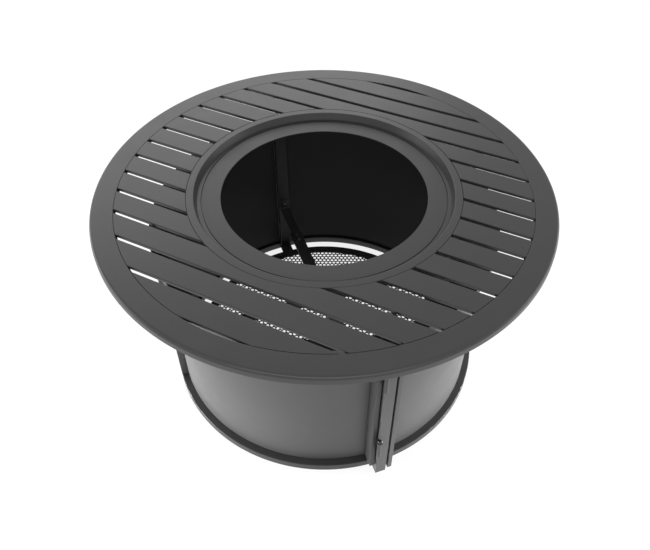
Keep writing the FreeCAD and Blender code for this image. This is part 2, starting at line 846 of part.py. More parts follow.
def make_brace():
    """Long bar with a strap bracket at each end, and a cross strap bolted below its middle."""
    bar = new_body("brace_bar", post_frame())
    half = "brace_width / 2"
    section = new_sketch(bar, "YZ_Plane", "-brace_half_length")
    add_rectangle(section, "-" + half, half, "brace_height", "brace_top")
    add_rectangle(
        section, "-" + half + " + brace_wall", half + " - brace_wall",
        "brace_height + brace_wall", "brace_top - brace_wall",
    )
    pad(bar, section, "2 * brace_half_length")
    holes = new_sketch(bar, "XY_Plane", "brace_height")
    add_circle(holes, "0", "0", "bolt_radius")
    for place in lap_places():
        add_circle(holes, place, "0", "bolt_radius")
        add_circle(holes, "-(%s)" % place, "0", "bolt_radius")
    pocket(bar, holes, "brace_depth", forward=True)

    half = "bracket_width / 2"
    for name, post in BRACKET_POSTS.items():
        bracket = new_body(name, post_frame(POST_NAMES.index(post)))
        flat = new_sketch(bracket, "XY_Plane", "brace_top")
        add_rectangle(flat, "bracket_end", "post_inner", "-" + half, half)
        pad(bracket, flat, "strap_thickness")
        holes = new_sketch(bracket, "XY_Plane", "brace_top")
        for place in lap_places():
            add_circle(holes, place, "0", "bolt_radius")
        pocket(bracket, holes, "strap_thickness", forward=True)
        add_upturned_end(bracket, "brace_top", half)

    strap = new_body("brace_cross_strap", post_frame(1))
    half = "cross_width / 2"
    flat = new_sketch(strap, "XY_Plane", "cross_bottom")
    add_rectangle(flat, "-post_inner", "post_inner", "-" + half, half)
    pad(strap, flat, "strap_thickness")
    hole = new_sketch(strap, "XY_Plane", "cross_bottom")
    add_circle(hole, "0", "0", "bolt_radius")
    pocket(strap, hole, "strap_thickness", forward=True)
    add_upturned_end(strap, "cross_bottom", half)
    add_upturned_end(strap, "cross_bottom", half, outward=-1)


def through_bolt(start, direction, held):
    """Bolt with its nut, where held is the thickness that it clamps."""
    return bolt_shape(start, direction, held + value("bolt_head_height"), held)


def make_brace_bolts():
    """Bolts of the long bar's laps, of the crossing and of the straps' upturned ends."""
    down = Vector(0, 0, -1)
    strap = value("strap_thickness")
    crossing = through_bolt(Vector(0, 0, value("brace_top")), down, value("brace_depth") + strap)
    bolts = [crossing]
    for number, post in enumerate(POST_NAMES):
        level = value(strap_bolt_level(post))
        end = Vector(value("post_inner") - strap, 0, level)
        shapes = [through_bolt(end, Vector(1, 0, 0), strap + value("post_wall"))]
        if post in BRACKET_POSTS.values():
            for place in lap_places():
                start = Vector(value(place), 0, value("bracket_top"))
                shapes.append(through_bolt(start, down, strap + value("brace_depth")))
        for shape in shapes:
            shape.Placement = post_frame(number).multiply(shape.Placement)
        bolts += shapes
    new_shape("brace_bolts", Part.makeCompound(bolts))


def tray_holes():
    """Centres of the tray's staggered holes."""
    pitch = value("tray_pitch")
    limit = value("tray_rim_inner - tray_hole - tray_sheet")
    rows = int(limit / (pitch * math.sqrt(0.75)))
    centres = []
    for row in range(-rows, rows + 1):
        shift = pitch / 2 if row % 2 else 0.0
        columns = int(limit / pitch) + 1
        for column in range(-columns, columns + 1):
            centre = Vector(column * pitch + shift, row * pitch * math.sqrt(0.75), value("tray_height"))
            if math.hypot(centre.x, centre.y) < limit:
                centres.append(centre)
    return centres


def make_tray():
    """Perforated tray on a flat ring whose four lugs reach the lower ring."""
    up = Vector(0, 0, 1)
    level = Vector(0, 0, value("tray_height"))
    outline = Part.Wire(Part.makeCircle(value("tray_radius"), level, up))
    holes = [Part.Wire(Part.makeCircle(value("tray_hole"), centre, up)) for centre in tray_holes()]
    face = Part.makeFace([outline] + holes, "Part::FaceMakerBullseye")
    new_shape("tray_sheet", face.extrude(Vector(0, 0, value("tray_sheet"))))

    rim = new_body("tray_rim", post_frame())
    turned(rim, rectangle_corners("tray_rim_inner", "tray_radius", "tray_lift", "tray_height"))
    lug = new_sketch(rim, "XY_Plane", "tray_lift")
    lug_root = "tray_radius - tray_rim_width / 2"
    add_rectangle(lug, lug_root, "ring_inner + cut_over", "-half_post", "half_post")
    add_rectangle(lug, "-ring_inner - cut_over", "-(%s)" % lug_root, "-half_post", "half_post")
    add_rectangle(lug, "-half_post", "half_post", lug_root, "ring_inner + cut_over")
    add_rectangle(lug, "-half_post", "half_post", "-ring_inner - cut_over", "-(%s)" % lug_root)
    pad(rim, lug, "tray_rim_thickness")
    outside = new_sketch(rim, "XY_Plane", "tray_lift")
    add_circle(outside, "0", "0", "ring_inner")
    add_circle(outside, "0", "0", "ring_outer")
    pocket(rim, outside, "tray_rim_thickness", forward=True)


def check_document():
    """Stop if any object failed or any sub-part's shape is empty or not valid."""
    for item in doc.Objects:
        if "Invalid" in item.State or "Error" in item.State:
            raise ValueError("%s is in state %s" % (item.Name, item.State))
    for node in nodes:
        if node.Shape.isNull() or not node.Shape.isValid() or not node.Shape.Solids:
            raise ValueError("%s has no valid solid" % node.Label)


def write_parts():
    """Write each sub-part to its own file and print its size."""
    os.makedirs("parts", exist_ok=True)
    for node in nodes:
        node.Shape.exportStep(os.path.join("parts", node.Label + ".step"))
        box = node.Shape.BoundBox
        print("%-22s solids %2d  volume %9.0f  z %6.1f to %6.1f" % (
            node.Label, len(node.Shape.Solids), node.Shape.Volume, box.ZMin, box.ZMax))
    axis = post_frame().multVec(Vector(value("axis_out"), value("axis_side"), 0))
    print("%d sub-parts, door axis at %.4f, %.4f" % (len(nodes), axis.x, axis.y))


fill_sheet()
make_rim()
make_slats()
make_well_ring()
make_burner_plate()
make_support_arms()
make_drum_rings()
make_posts()
make_hinge_leg()
make_fixed_panels()
make_door()
make_hinges()
make_support_bolts()
make_brace()
make_brace_bolts()
make_tray()
doc.recompute()
check_document()
write_parts()
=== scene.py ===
"""Dressed scene of a round slatted fire pit table on a drum base with a hinged quarter door.

Metres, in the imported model's own frame: the origin is on the floor under the table's centre, +Z
points up and -Y points to the camera. A turn is counted about +Z from the front, positive to the
right.
"""
from __future__ import annotations

import logging
import math
from dataclasses import dataclass
from enum import Enum
from typing import Callable

import bmesh
import bpy
import numpy as np
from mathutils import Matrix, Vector


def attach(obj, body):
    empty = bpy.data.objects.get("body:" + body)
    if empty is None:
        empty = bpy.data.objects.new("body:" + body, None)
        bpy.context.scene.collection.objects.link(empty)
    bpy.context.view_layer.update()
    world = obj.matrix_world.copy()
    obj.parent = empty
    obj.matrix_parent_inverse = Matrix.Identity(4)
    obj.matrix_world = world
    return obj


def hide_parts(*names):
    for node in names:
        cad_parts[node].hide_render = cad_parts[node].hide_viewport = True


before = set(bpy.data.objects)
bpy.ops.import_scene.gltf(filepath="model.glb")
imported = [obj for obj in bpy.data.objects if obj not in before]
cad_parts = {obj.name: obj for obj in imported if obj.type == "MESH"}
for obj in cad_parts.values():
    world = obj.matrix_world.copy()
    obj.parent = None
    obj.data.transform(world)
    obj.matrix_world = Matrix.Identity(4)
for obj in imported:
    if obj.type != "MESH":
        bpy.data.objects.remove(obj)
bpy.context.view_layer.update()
LOG = logging.getLogger("fire_pit_table")

MM_PER_METRE = 1000.0
# Points nearer than this are one point
SAME_PLACE_MM = 0.02
# Faces of one rounded corner
ROUND_STEPS = 6
# Faces across one softened edge
EDGE_STEPS = 2
# Faces that meet at less than this angle in degrees are shaded as one curve
SMOOTH_BELOW = 30.0
# Edges whose faces meet at more than this angle in degrees are softened
SOFTEN_ABOVE = 40.0
# Turn of the first post in degrees, and the turn from each post to the next
FIRST_POST_TURN = 19.1
QUARTER_TURN = 90.0

# Sockets that share their names, so that only their numbers tell them apart
MIX_SHARE, COLOUR_A, COLOUR_B, MIXED_COLOUR = 0, 6, 7, 2
NUMBER_A, NUMBER_B = 2, 3
MAP_VALUE, FROM_LOW, FROM_HIGH, TO_LOW, TO_HIGH = 0, 1, 2, 3, 4

# Corners of an outline, in order round it
Outline = list[tuple[float, float]]
# For each radius, the numbers of the corners that get it
Rounds = dict[float, tuple[int, ...]]


def millimetres(length: float) -> float:
    """Metres from a length in millimetres."""
    return length / MM_PER_METRE


def linear(colour: str) -> tuple[float, float, float, float]:
    """Turns an sRGB hex colour to the linear colour that a shader takes.

    Args:
        colour: The colour as "#rrggbb".

    Returns:
        Red, green, blue and alpha, all linear.
    """
    parts = [int(colour[place:place + 2], 16) / 255.0 for place in (1, 3, 5)]
    # The curve of the sRGB standard: straight near black and a power above
    bent = [part / 12.92 if part <= 0.04045 else ((part + 0.055) / 1.055) ** 2.4 for part in parts]
    return bent[0], bent[1], bent[2], 1.0


def add_node(
        tree: bpy.types.NodeTree, kind: str, inputs: dict | None = None, **settings: object,
) -> bpy.types.Node:
    """Adds a node with its settings, its values and its links.

    Args:
        tree: The node tree that gets the node.
        kind: Blender's name for the kind of node.
        inputs: For each input, by name or number, a value or the output that feeds it.
        **settings: Attributes of the node.

    Returns:
        The new node.
    """
    node = tree.nodes.new(kind)
    for name, setting in settings.items():
        setattr(node, name, setting)
    for key, given in (inputs or {}).items():
        if isinstance(given, bpy.types.NodeSocket):
            tree.links.new(given, node.inputs[key])
        else:
            node.inputs[key].default_value = given
    return node


def empty_tree(owner: bpy.types.Material | bpy.types.World) -> bpy.types.NodeTree:
    """Gives a material or world its nodes.

    Args:
        owner: The new material or world.

    Returns:
        Its node tree, with nothing in it yet.
    """
    owner.use_nodes = True
    owner.node_tree.nodes.clear()
    return owner.node_tree


def per_metre(size_mm: float) -> float:
    """Scale of a pattern whose features are of a size in millimetres."""
    return MM_PER_METRE / size_mm


@dataclass(frozen=True)
class PaintedInsideShade:
    """Painted shade on what faces the middle of the drum: a dark colour on all that is nearer to
    the axis than a radius.
    """

    radius_mm: float
    colour: str
    roughness: float


@dataclass(frozen=True)
class CoatedMetal:
    """Metal under a baked or sprayed coat: satin, with a pebbled skin that softens highlights."""

    name: str
    colour: str
    mottle: str
    roughness: float
    roughness_swing: float
    grain_mm: float
    grain_depth_mm: float
    cloud_mm: float = 90.0
    metallic: float = 0.0
    # Painted shade: a dark colour on the side that faces the drum's axis, if it has one
    inside: PaintedInsideShade | None = None

    def make(self) -> bpy.types.Material:
        """Builds the material.

        Returns:
            The material, with every pattern on Object coordinates.
        """
        material = bpy.data.materials.new(self.name)
        tree = empty_tree(material)
        place = add_node(tree, "ShaderNodeTexCoord").outputs["Object"]
        # The coat's own pebbles, drawn a little coarser than real so that a pixel can show them
        grain = add_node(tree, "ShaderNodeTexNoise", {
            "Vector": place, "Scale": per_metre(self.grain_mm), "Detail": 3.0, "Roughness": 0.6})
        # Slow change of thickness of the coat over a hand's width
        cloud = add_node(tree, "ShaderNodeTexNoise", {
            "Vector": place, "Scale": per_metre(self.cloud_mm), "Detail": 4.0, "Roughness": 0.55})
        tone = add_node(tree, "ShaderNodeMix", {
            MIX_SHARE: cloud.outputs[0], COLOUR_A: linear(self.colour),
            COLOUR_B: linear(self.mottle)}, data_type="RGBA")
        # Painted shade: the pebbles' hollows are painted a little darker than their tops
        pebble_shade = add_node(tree, "ShaderNodeMapRange", {
            MAP_VALUE: grain.outputs[0], FROM_LOW: 0.35, FROM_HIGH: 0.65,
            TO_LOW: 0.94, TO_HIGH: 1.06})
        pebble_shaded_tone = add_node(tree, "ShaderNodeMix", {
            MIX_SHARE: 1.0, COLOUR_A: tone.outputs[MIXED_COLOUR], COLOUR_B: pebble_shade.outputs[0]},
            data_type="RGBA", blend_type="MULTIPLY")
        gloss = add_node(tree, "ShaderNodeMapRange", {
            MAP_VALUE: cloud.outputs[0], FROM_LOW: 0.3, FROM_HIGH: 0.7,
            TO_LOW: self.roughness - self.roughness_swing,
            TO_HIGH: self.roughness + self.roughness_swing})
        colour, roughness = pebble_shaded_tone.outputs[MIXED_COLOUR], gloss.outputs[0]
        # Painted shade: the side that faces the axis is painted dark
        if self.inside is not None:
            colour, roughness = self._paint_inside_shade(tree, place, colour, roughness)
        bump = add_node(tree, "ShaderNodeBump", {
            "Strength": 0.5, "Distance": millimetres(self.grain_depth_mm),
            "Height": grain.outputs[0]})
        shader = add_node(tree, "ShaderNodeBsdfPrincipled", {
            "Base Color": colour, "Roughness": roughness,
            "Metallic": self.metallic, "IOR": 1.5, "Normal": bump.outputs[0]})
        add_node(tree, "ShaderNodeOutputMaterial", {"Surface": shader.outputs[0]})
        return material

    def _paint_inside_shade(
            self, tree: bpy.types.NodeTree, place: bpy.types.NodeSocket,
            colour: bpy.types.NodeSocket, roughness: bpy.types.NodeSocket,
    ) -> tuple[bpy.types.NodeSocket, bpy.types.NodeSocket]:
        """Paints the shade inside the drum: a dark colour on the side that faces the table's axis.

        Args:
            tree: The material's nodes.
            place: Where a point lies on the table.
            colour: Colour of the outer coat.
            roughness: Roughness of the outer coat.

        Returns:
            Colour and roughness, with the painted shade's dark colour on the inside.
        """
        # A point's distance from the axis, its height left out
        level = add_node(
            tree, "ShaderNodeVectorMath", {0: place, 1: (1.0, 1.0, 0.0)}, operation="MULTIPLY")
        distance = add_node(tree, "ShaderNodeVectorMath", {0: level.outputs[0]}, operation="LENGTH")
        near = add_node(
            tree, "ShaderNodeMath",
            {0: distance.outputs["Value"], 1: millimetres(self.inside.radius_mm)},
            operation="LESS_THAN")
        colours = add_node(tree, "ShaderNodeMix", {
            MIX_SHARE: near.outputs[0], COLOUR_A: colour,
            COLOUR_B: linear(self.inside.colour)}, data_type="RGBA")
        roughnesses = add_node(tree, "ShaderNodeMix", {
            MIX_SHARE: near.outputs[0], NUMBER_A: roughness,
            NUMBER_B: self.inside.roughness}, data_type="FLOAT")
        return colours.outputs[MIXED_COLOUR], roughnesses.outputs[0]


@dataclass(frozen=True)
class BareSteel:
    """Blackened or plated steel of a fastener: metallic, with fine turning marks."""

    name: str
    colour: str
    roughness: float
    roughness_swing: float = 0.08
    mark_mm: float = 1.2
    mark_depth_mm: float = 0.05

    def make(self) -> bpy.types.Material:
        """Builds the material.

        Returns:
            The material.
        """
        material = bpy.data.materials.new(self.name)
        tree = empty_tree(material)
        place = add_node(tree, "ShaderNodeTexCoord").outputs["Object"]
        marks = add_node(tree, "ShaderNodeTexNoise", {
            "Vector": place, "Scale": per_metre(self.mark_mm), "Detail": 3.0})
        gloss = add_node(tree, "ShaderNodeMapRange", {
            MAP_VALUE: marks.outputs[0], FROM_LOW: 0.3, FROM_HIGH: 0.7,
            TO_LOW: self.roughness - self.roughness_swing,
            TO_HIGH: self.roughness + self.roughness_swing})
        bump = add_node(tree, "ShaderNodeBump", {
            "Strength": 0.3, "Distance": millimetres(self.mark_depth_mm),
            "Height": marks.outputs[0]})
        shader = add_node(tree, "ShaderNodeBsdfPrincipled", {
            "Base Color": linear(self.colour), "Roughness": gloss.outputs[0],
            "Metallic": 1.0, "Normal": bump.outputs[0]})
        add_node(tree, "ShaderNodeOutputMaterial", {"Surface": shader.outputs[0]})
        return material


class Finish(Enum):
    """The finishes of the table, each with what it is made of."""

    # Polyester powder coat on aluminium: dark graphite, satin, with a fine sandy skin
    POWDER_COAT = CoatedMetal(
        "powder_coated_aluminium", "#282828", "#2c2c2c", 0.35, 0.03, 1.6, 0.12)
    # The same coat on the drum, painted paler as painted light, with a little metal flake: its
    # curved wall glows towards its sides. On the inside, a near-black is painted as the shade
    # inside the drum.
    DRUM_COAT = CoatedMetal(
        "flaked_powder_coat_painted_light_and_shade", "#4b4b4b", "#4f4f4f", 0.50, 0.03, 1.6, 0.12,
        metallic=0.2, inside=PaintedInsideShade(512.7, "#0a0a0a", 0.6))
    # The drum's coat on its posts, painted paler as painted light; their inner side gets a dark
    # satin colour as painted shade
    POST_COAT = CoatedMetal(
        "flaked_post_coat_painted_light_and_shade", "#4b4b4b", "#4f4f4f", 0.50, 0.03, 1.6, 0.12,
        metallic=0.2, inside=PaintedInsideShade(512.7, "#1a1a1a", 0.38))
    # The drum's coat on its rings and on the door's stile, painted darker as the shade on the ring
    # tops and the stile's side, with more flake
    PAINTED_SHADE_RING_COAT = CoatedMetal(
        "drum_coat_with_painted_shade", "#353535", "#393939", 0.45, 0.03, 1.6, 0.12, metallic=0.3)
    # The top's coat on the burner plate, painted a little darker as the shade of the well round it,
    # and less shiny
    PAINTED_SHADE_BURNER_COAT = CoatedMetal(
        "top_coat_with_painted_shade", "#242424", "#282828", 0.42, 0.03, 1.6, 0.12)
    # Satin black paint on the steel bars inside the drum: darker and a little smoother
    BLACK_PAINT = CoatedMetal(
        "satin_black_painted_steel", "#242424", "#292929", 0.33, 0.05, 1.2, 0.08)
    # Black paint on turned hinge pins: smooth enough for a sharp glint
    HINGE_PAINT = CoatedMetal(
        "black_painted_hinge_steel", "#141414", "#181818", 0.22, 0.04, 1.0, 0.05)
    # Grey primer on the perforated tray: paler than the paint on the bars above it
    TRAY_PAINT = CoatedMetal(
        "grey_primed_steel_sheet", "#3b3b3b", "#414141", 0.45, 0.04, 1.2, 0.08)
    # Blackened steel of bolts and screws: it mirrors the light in small grey spots
    BLACKENED_STEEL = BareSteel("blackened_steel", "#8d8d8d", 0.34)


# The materials made so far
MATERIALS: dict[Finish, bpy.types.Material] = {}
# The posts by their turn: number 0 is the first, and each next one a quarter turn further
POSTS = ("front_right", "rear_right", "rear_left", "front_left")


def material_of(finish: Finish) -> bpy.types.Material:
    """Looks up a finish's material, which is made when it is first asked for.

    Args:
        finish: The finish.

    Returns:
        The one material that all its pieces share.
    """
    if finish not in MATERIALS:
        MATERIALS[finish] = finish.value.make()
    return MATERIALS[finish]


def dress_node(name: str, finish: Finish) -> None:
    """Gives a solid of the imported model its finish.

    Args:
        name: The node's name.
        finish: The finish that covers all of it.
    """
    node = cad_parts[name]
    node.data.materials.clear()
    node.data.materials.append(material_of(finish))
    LOG.info("dressed %s in %s", name, finish.value.name)


def hand_over(piece: bpy.types.Object, body: str, finish: Finish, *stands_for: str) -> None:
    """Gives a new piece its finish and the body that it rides on.

    Args:
        piece: The piece, at the origin with its place in its mesh.
        body: The body that carries it.
        finish: The finish that covers all of it.
        *stands_for: The nodes that it is shown in place of.
    """
    piece.data.materials.clear()
    piece.data.materials.append(material_of(finish))
    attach(piece, body)
    if stands_for:
        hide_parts(*stands_for)
    LOG.info("built %s on %s, %d faces", piece.name, body, len(piece.data.polygons))


def start_piece(
        name: str, primitive: Callable[..., set[str]], **settings: object,
) -> bpy.types.Object:
    """Adds a primitive with nothing else selected.

    Args:
        name: The piece's name.
        primitive: The operator that adds it.
        **settings: The operator's settings.

    Returns:
        The new object.
    """
    bpy.ops.object.select_all(action="DESELECT")
    primitive(**settings)
    piece = bpy.context.object
    piece.name = name
    piece.data.name = name
    return piece


def only(piece: bpy.types.Object) -> None:
    """Makes a piece the one selected and active object.

    Args:
        piece: The piece.
    """
    bpy.ops.object.select_all(action="DESELECT")
    piece.select_set(True)
    bpy.context.view_layer.objects.active = piece


def place_in_mesh() -> None:
    """Moves the place, turn and scale of the selected pieces into their meshes."""
    bpy.ops.object.transform_apply(location=True, rotation=True, scale=True)


def apply_modifier(piece: bpy.types.Object, kind: str, **settings: object) -> None:
    """Adds a modifier to a piece and applies it.

    Args:
        piece: The piece.
        kind: Blender's name for the modifier.
        **settings: Its settings.
    """
    only(piece)
    modifier = piece.modifiers.new(kind.lower(), kind)
    for name, setting in settings.items():
        setattr(modifier, name, setting)
    bpy.ops.object.modifier_apply(modifier=modifier.name)


def draw_section(name: str, corners: Outline, rounds: Rounds) -> bpy.types.Object:
    """Draws a closed outline in the XZ plane by drawing one point out from corner to corner.

    Args:
        name: The piece's name.
        corners: X and Z of every corner, in millimetres.
        rounds: For each radius in millimetres, the numbers of the corners that get it.

    Returns:
        The outline, an object in edit mode.
    """
    same_place = millimetres(SAME_PLACE_MM)
    places = [Vector((millimetres(across), 0.0, millimetres(up))) for across, up in corners]
    # A small square, merged to its middle, is the point that is drawn out
    section = start_piece(name, bpy.ops.mesh.primitive_plane_add, size=millimetres(1.0))
    bpy.context.tool_settings.mesh_select_mode = (True, False, False)
    bpy.ops.object.mode_set(mode="EDIT")
    bpy.ops.mesh.merge(type="CENTER")
    bpy.ops.transform.translate(value=places[0])
    for here, there in zip(places, places[1:] + places[:1]):
        bpy.ops.mesh.extrude_vertices_move(TRANSFORM_OT_translate={"value": there - here})
    bpy.ops.mesh.select_all(action="SELECT")
    bpy.ops.mesh.remove_doubles(threshold=same_place)
    for radius, numbers in rounds.items():
        mesh = bmesh.from_edit_mesh(section.data)
        for vert in mesh.verts:
            vert.select_set(any(
                (vert.co - places[number]).length < same_place for number in numbers))
        mesh.select_flush_mode()
        bmesh.update_edit_mesh(section.data)
        bpy.ops.mesh.bevel(
            offset=millimetres(radius), offset_type="OFFSET", segments=ROUND_STEPS,
            affect="VERTICES")
    return section


def finish_mesh(piece: bpy.types.Object) -> None:
    """Joins a piece's seams, turns its faces outward, leaves edit mode and smooths it.

    Args:
        piece: The piece, in edit mode.
    """
    bpy.ops.mesh.select_all(action="SELECT")
    bpy.ops.mesh.remove_doubles(threshold=millimetres(SAME_PLACE_MM))
    bpy.ops.mesh.normals_make_consistent(inside=False)
    bpy.ops.object.mode_set(mode="OBJECT")
    smooth(piece)


def smooth(piece: bpy.types.Object) -> None:
    """Smooths a piece where it curves and lets its large faces stay flat.

    Args:
        piece: The piece, in object mode.
    """
    only(piece)
    bpy.ops.object.shade_smooth_by_angle(angle=math.radians(SMOOTH_BELOW))
    apply_modifier(piece, "WEIGHTED_NORMAL", keep_sharp=True)


def spun(
        name: str, corners: Outline, rounds: Rounds, steps: int,
        centre: tuple[float, float] = (0.0, 0.0),
) -> bpy.types.Object:
    """Turns an outline about an upright axis.

    Args:
        name: The piece's name.
        corners: Radius and height of every corner, in millimetres.
        rounds: For each radius in millimetres, the numbers of the corners that get it.
        steps: How many faces go round.
        centre: X and Y of the axis, in metres.

    Returns:
        The piece.
    """
    piece = draw_section(name, corners, rounds)
    bpy.ops.mesh.select_all(action="SELECT")
    bpy.ops.mesh.spin(
        steps=steps, angle=math.tau, center=(0.0, 0.0, 0.0), axis=(0.0, 0.0, 1.0))
    finish_mesh(piece)
    piece.location = (*centre, 0.0)
    place_in_mesh()
    return piece


def to_post(piece: bpy.types.Object, number: int = 0) -> None:
    """Turns a piece from the frame of a post, whose X axis points outward, to the table's.

    Args:
        piece: The piece.
        number: Number of the post.
    """
    only(piece)
    turn = FIRST_POST_TURN - QUARTER_TURN + QUARTER_TURN * number
    piece.rotation_euler = (0.0, 0.0, math.radians(turn))
    place_in_mesh()


def extruded(
        name: str, corners: Outline, rounds: Rounds, half_width: float, edge: float,
) -> bpy.types.Object:
    """Draws an outline out sideways, to both sides of the XZ plane, and softens its edges.

    Args:
        name: The piece's name.
        corners: X and Z of every corner, in millimetres.
        rounds: For each radius in millimetres, the numbers of the corners that get it.
        half_width: How far it reaches to each side, in millimetres.
        edge: Width of the softened edge, in millimetres.

    Returns:
        The piece.
    """
    piece = draw_section(name, corners, rounds)
    bpy.ops.mesh.select_all(action="SELECT")
    bpy.ops.mesh.edge_face_add()
    bpy.ops.transform.translate(value=(0.0, -millimetres(half_width), 0.0))
    bpy.ops.mesh.extrude_region_move(
        TRANSFORM_OT_translate={"value": (0.0, 2.0 * millimetres(half_width), 0.0)})
    finish_mesh(piece)
    apply_modifier(
        piece, "BEVEL", width=millimetres(edge), segments=EDGE_STEPS, limit_method="ANGLE",
        angle_limit=math.radians(SOFTEN_ABOVE))
    smooth(piece)
    return piece


@dataclass
class Tray:
    """Perforated tray just above the floor and the flat ring with four lugs that carries it.

    Its sizes are in metres.
    """

    low: float = millimetres(3.5)
    thickness: float = millimetres(2.0)
    edge_radius: float = millimetres(470.0)
    holes_radius: float = millimetres(452.0)
    pitch: float = millimetres(16.0)
    hole_radius: float = millimetres(6.1)
    hole_sides: int = 18
    cell_sides: int = 6
    join_gap: float = millimetres(0.16)
    outline_over_hole_side: float = 1.2
    lug_turn: float = FIRST_POST_TURN
    lug_inner: float = millimetres(446.0)
    lug_half_width: float = millimetres(24.0)

    def build(self) -> None:
        """Builds the perforated sheet in four quarters and dresses the ring below it."""
        field = self._cells()
        self._trim(field)
        self._add_border(field)
        for number, quarter in enumerate(self._quarters(field), start=1):
            quarter.name = f"tray_sheet_quarter_{number}"
            quarter.data.name = quarter.name
            apply_modifier(quarter, "SOLIDIFY", thickness=self.thickness, offset=1.0)
            hand_over(quarter, "table", Finish.TRAY_PAINT, "tray_sheet")
        dress_node("tray_rim", Finish.TRAY_PAINT)

    def _cells(self) -> bpy.types.Object:
        """Lays out six-sided cells with a round hole each, in staggered rows.

        Returns:
            The field of cells, which reaches past the tray's edge.
        """
        # In a honeycomb the pitch sets how far the rows are apart and how large a cell is
        row_step = self.pitch * math.sqrt(0.75)
        cell = start_piece(
            "tray_sheet", bpy.ops.mesh.primitive_circle_add,
            vertices=self.cell_sides, radius=self.pitch / math.sqrt(3.0))
        bpy.ops.object.mode_set(mode="EDIT")
        bpy.ops.mesh.subdivide(number_cuts=self.hole_sides // self.cell_sides - 1)
        bpy.ops.mesh.primitive_circle_add(vertices=self.hole_sides, radius=self.hole_radius)
        bpy.ops.mesh.select_all(action="SELECT")
        bpy.ops.mesh.bridge_edge_loops()
        bpy.ops.mesh.select_all(action="SELECT")
        bpy.ops.mesh.duplicate()
        bpy.ops.transform.translate(value=(self.pitch / 2.0, row_step, 0.0))
        bpy.ops.object.mode_set(mode="OBJECT")
        across = 2 * math.ceil(self.edge_radius / self.pitch) + 1
        along = math.ceil(self.edge_radius / row_step) + 1
        apply_modifier(
            cell, "ARRAY", count=across, use_relative_offset=False,
            use_constant_offset=True, constant_offset_displace=(self.pitch, 0.0, 0.0))
        apply_modifier(
            cell, "ARRAY", count=along, use_relative_offset=False,
            use_constant_offset=True, constant_offset_displace=(0.0, 2.0 * row_step, 0.0))
        cell.location = (-(across - 1) / 2.0 * self.pitch, -(along - 1) * row_step, self.low)
        place_in_mesh()
        return cell

    def _trim(self, field: bpy.types.Object) -> None:
        """Deletes whole cells outside the perforated circle or over a lug and joins the rest.

        Args:
            field: The field of cells.
        """
        count = len(field.data.polygons)
        middles = np.empty(count * 3, dtype=np.float32)
        field.data.polygons.foreach_get("center", middles)
        cells = middles.reshape(-1, self.hole_sides, 3).mean(axis=1)
        turn = math.radians(self.lug_turn)
        along = cells[:, 0] * math.sin(turn) - cells[:, 1] * math.cos(turn)
        across = cells[:, 0] * math.cos(turn) + cells[:, 1] * math.sin(turn)
        outside = np.hypot(along, across) > self.holes_radius
        for out, side in ((along, across), (across, along)):
            outside |= (np.abs(out) > self.lug_inner) & (np.abs(side) < self.lug_half_width)
        field.data.polygons.foreach_set("select", np.repeat(outside, self.hole_sides))
        bpy.context.tool_settings.mesh_select_mode = (False, False, True)
        bpy.ops.object.mode_set(mode="EDIT")
        bpy.ops.mesh.delete(type="FACE")
        bpy.ops.mesh.select_all(action="SELECT")
        bpy.ops.mesh.remove_doubles(threshold=self.join_gap)
        bpy.ops.object.mode_set(mode="OBJECT")

    def _add_border(self, field: bpy.types.Object) -> None:
        """Draws the stepped edge of the perforated field out to the tray's round edge.

        Args:
            field: The joined cells.
        """
        # An open edge is one side of a hole, or it is longer and belongs to the field's outline
        hole_side = 2.0 * self.hole_radius * math.sin(math.pi / self.hole_sides)
        longest_at_hole = self.outline_over_hole_side * hole_side
        bpy.context.tool_settings.mesh_select_mode = (False, True, False)
        bpy.ops.object.mode_set(mode="EDIT")
        mesh = bmesh.from_edit_mesh(field.data)
        for edge in mesh.edges:
            edge.select_set(edge.is_boundary and edge.calc_length() > longest_at_hole)
        bmesh.update_edit_mesh(field.data)
        bpy.ops.mesh.extrude_edges_move()
        bpy.ops.transform.tosphere(value=1.0)
        drawn_out = bmesh.from_edit_mesh(field.data).verts
        reach = [vert.co.xy.length for vert in drawn_out if vert.select]
        grow = self.edge_radius / (sum(reach) / len(reach))
        bpy.ops.transform.resize(value=(grow, grow, 1.0), center_override=(0.0, 0.0, self.low))
        bpy.ops.mesh.select_all(action="SELECT")
        bpy.ops.mesh.normals_make_consistent(inside=False)
        bpy.ops.object.mode_set(mode="OBJECT")
        if field.data.polygons[0].normal.z < 0.0:
            field.data.flip_normals()

    def _quarters(self, field: bpy.types.Object) -> list[bpy.types.Object]:
        """Parts the sheet in four quarters, so that no piece has too many faces.

        Args:
            field: The whole sheet.

        Returns:
            The four quarters, the field's own object first.
        """
        quarters = [field]
        bpy.context.tool_settings.mesh_select_mode = (False, False, True)
        for right, rear in ((True, True), (True, False), (False, True)):
            only(field)
            bpy.ops.object.mode_set(mode="EDIT")
            mesh = bmesh.from_edit_mesh(field.data)
            for face in mesh.faces:
                middle = face.calc_center_median()
                face.select_set((middle.x > 0.0) == right and (middle.y > 0.0) == rear)
            bmesh.update_edit_mesh(field.data)
            bpy.ops.mesh.separate(type="SELECTED")
            bpy.ops.object.mode_set(mode="OBJECT")
            quarters += [item for item in bpy.context.selected_objects if item != field]
        return quarters


